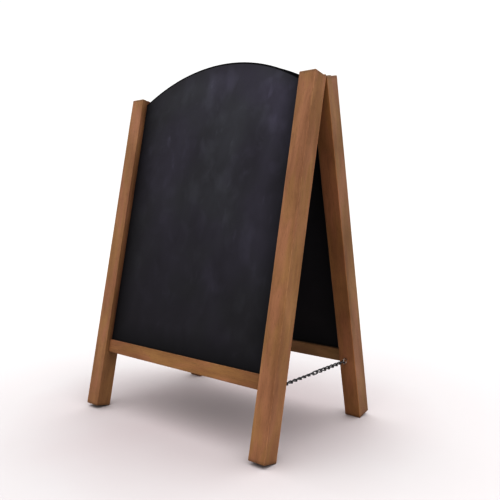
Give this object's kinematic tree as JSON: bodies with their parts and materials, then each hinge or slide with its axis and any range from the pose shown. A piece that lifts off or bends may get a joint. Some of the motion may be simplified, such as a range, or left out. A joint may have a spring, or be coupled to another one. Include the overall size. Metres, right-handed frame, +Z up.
{
  "type": "sandwich board",
  "caption": "Free-standing folding A-frame chalkboard: two hinged wooden frames with arch-topped blackboards, held open by side chains.",
  "frame": {"origin": "on the floor, midway between the two panels and midway across the board", "axes": "+Z up, +X along the hinge line to the right seen from the front, -Y towards the front panel"},
  "size_m": [0.674, 0.4818, 0.9844],
  "materials": {
    "stained_wood": "brown stained hardwood, satin oil finish",
    "chalkboard": "matt black chalkboard paint on board, with faint wiped chalk",
    "bronzed_steel": "bronze-coloured plated steel hinges and screws",
    "zinc_steel": "zinc plated steel",
    "chain_steel": "dull, darkened steel chain"
  },
  "bodies": {
    "front_panel": {"front_left_stile": "stained_wood", "front_left_screw_eye": "zinc_steel", "left_hinge_front_leaf": "bronzed_steel", "left_hinge_front_screw_1": "bronzed_steel", "left_hinge_front_screw_2": "bronzed_steel", "front_right_stile": "stained_wood", "front_right_screw_eye": "zinc_steel", "right_hinge_front_leaf": "bronzed_steel", "right_hinge_front_screw_1": "bronzed_steel", "right_hinge_front_screw_2": "bronzed_steel", "front_bottom_rail": "stained_wood", "front_blackboard": "chalkboard", "left_hinge_pin": "bronzed_steel", "right_hinge_pin": "bronzed_steel"},
    "rear_panel": {"rear_left_stile": "stained_wood", "rear_left_screw_eye": "zinc_steel", "left_hinge_rear_leaf": "bronzed_steel", "left_hinge_rear_screw_1": "bronzed_steel", "left_hinge_rear_screw_2": "bronzed_steel", "rear_right_stile": "stained_wood", "rear_right_screw_eye": "zinc_steel", "right_hinge_rear_leaf": "bronzed_steel", "right_hinge_rear_screw_1": "bronzed_steel", "right_hinge_rear_screw_2": "bronzed_steel", "rear_bottom_rail": "stained_wood", "rear_blackboard": "chalkboard"},
    "left_chain_front_strand": {"left_chain_link_01": "chain_steel", "left_chain_link_02": "chain_steel", "left_chain_link_03": "chain_steel", "left_chain_link_04": "chain_steel", "left_chain_link_05": "chain_steel", "left_chain_link_06": "chain_steel", "left_chain_link_07": "chain_steel"},
    "left_chain_middle": {"left_chain_link_08": "chain_steel"},
    "left_chain_rear_strand": {"left_chain_link_09": "chain_steel", "left_chain_link_10": "chain_steel", "left_chain_link_11": "chain_steel", "left_chain_link_12": "chain_steel", "left_chain_link_13": "chain_steel", "left_chain_link_14": "chain_steel", "left_chain_link_15": "chain_steel"},
    "right_chain_front_strand": {"right_chain_link_01": "chain_steel", "right_chain_link_02": "chain_steel", "right_chain_link_03": "chain_steel", "right_chain_link_04": "chain_steel", "right_chain_link_05": "chain_steel", "right_chain_link_06": "chain_steel", "right_chain_link_07": "chain_steel"},
    "right_chain_middle": {"right_chain_link_08": "chain_steel"},
    "right_chain_rear_strand": {"right_chain_link_09": "chain_steel", "right_chain_link_10": "chain_steel", "right_chain_link_11": "chain_steel", "right_chain_link_12": "chain_steel", "right_chain_link_13": "chain_steel", "right_chain_link_14": "chain_steel", "right_chain_link_15": "chain_steel"}
  },
  "joints": [
    {"name": "fold", "type": "hinge", "parent": "front_panel", "child": "rear_panel", "pos_m": [0, 0, 0.91235], "axis": [-1, 0, 0], "range_deg": [0, 20.9], "deforming": ["left_chain_link_01", "left_chain_link_02", "left_chain_link_03", "left_chain_link_04", "left_chain_link_05", "left_chain_link_06", "left_chain_link_07", "left_chain_link_08", "left_chain_link_09", "left_chain_link_10", "left_chain_link_11", "left_chain_link_12", "left_chain_link_13", "left_chain_link_14", "left_chain_link_15", "right_chain_link_01", "right_chain_link_02", "right_chain_link_03", "right_chain_link_04", "right_chain_link_05", "right_chain_link_06", "right_chain_link_07", "right_chain_link_08", "right_chain_link_09", "right_chain_link_10", "right_chain_link_11", "right_chain_link_12", "right_chain_link_13", "right_chain_link_14", "right_chain_link_15"]},
    {"name": "left_chain_front_swing", "type": "hinge", "parent": "front_panel", "child": "left_chain_front_strand", "pos_m": [-0.313, -0.14719, 0.1684], "axis": [-1, 0, 0], "range_deg": [0, 99.68]},
    {"name": "left_chain_middle_swing", "type": "hinge", "parent": "left_chain_front_strand", "child": "left_chain_middle", "pos_m": [-0.313, -0.00769, 0.1684], "axis": [1, 0, 0], "range_deg": [0, 89.23]},
    {"name": "left_chain_rear_swing", "type": "hinge", "parent": "rear_panel", "child": "left_chain_rear_strand", "pos_m": [-0.313, 0.14719, 0.1684], "axis": [1, 0, 0], "range_deg": [0, 99.68]},
    {"name": "right_chain_front_swing", "type": "hinge", "parent": "front_panel", "child": "right_chain_front_strand", "pos_m": [0.313, -0.14719, 0.1684], "axis": [-1, 0, 0], "range_deg": [0, 99.68]},
    {"name": "right_chain_middle_swing", "type": "hinge", "parent": "right_chain_front_strand", "child": "right_chain_middle", "pos_m": [0.313, -0.00769, 0.1684], "axis": [1, 0, 0], "range_deg": [0, 89.23]},
    {"name": "right_chain_rear_swing", "type": "hinge", "parent": "rear_panel", "child": "right_chain_rear_strand", "pos_m": [0.313, 0.14719, 0.1684], "axis": [1, 0, 0], "range_deg": [0, 99.68]}
  ],
  "couplings": [
    {"joint": "left_chain_front_swing", "follows": "fold", "ratio": 4.7646},
    {"joint": "left_chain_middle_swing", "follows": "fold", "ratio": 4.2646},
    {"joint": "left_chain_rear_swing", "follows": "fold", "ratio": 4.7646},
    {"joint": "right_chain_front_swing", "follows": "fold", "ratio": 4.7646},
    {"joint": "right_chain_middle_swing", "follows": "fold", "ratio": 4.2646},
    {"joint": "right_chain_rear_swing", "follows": "fold", "ratio": 4.7646}
  ]
}
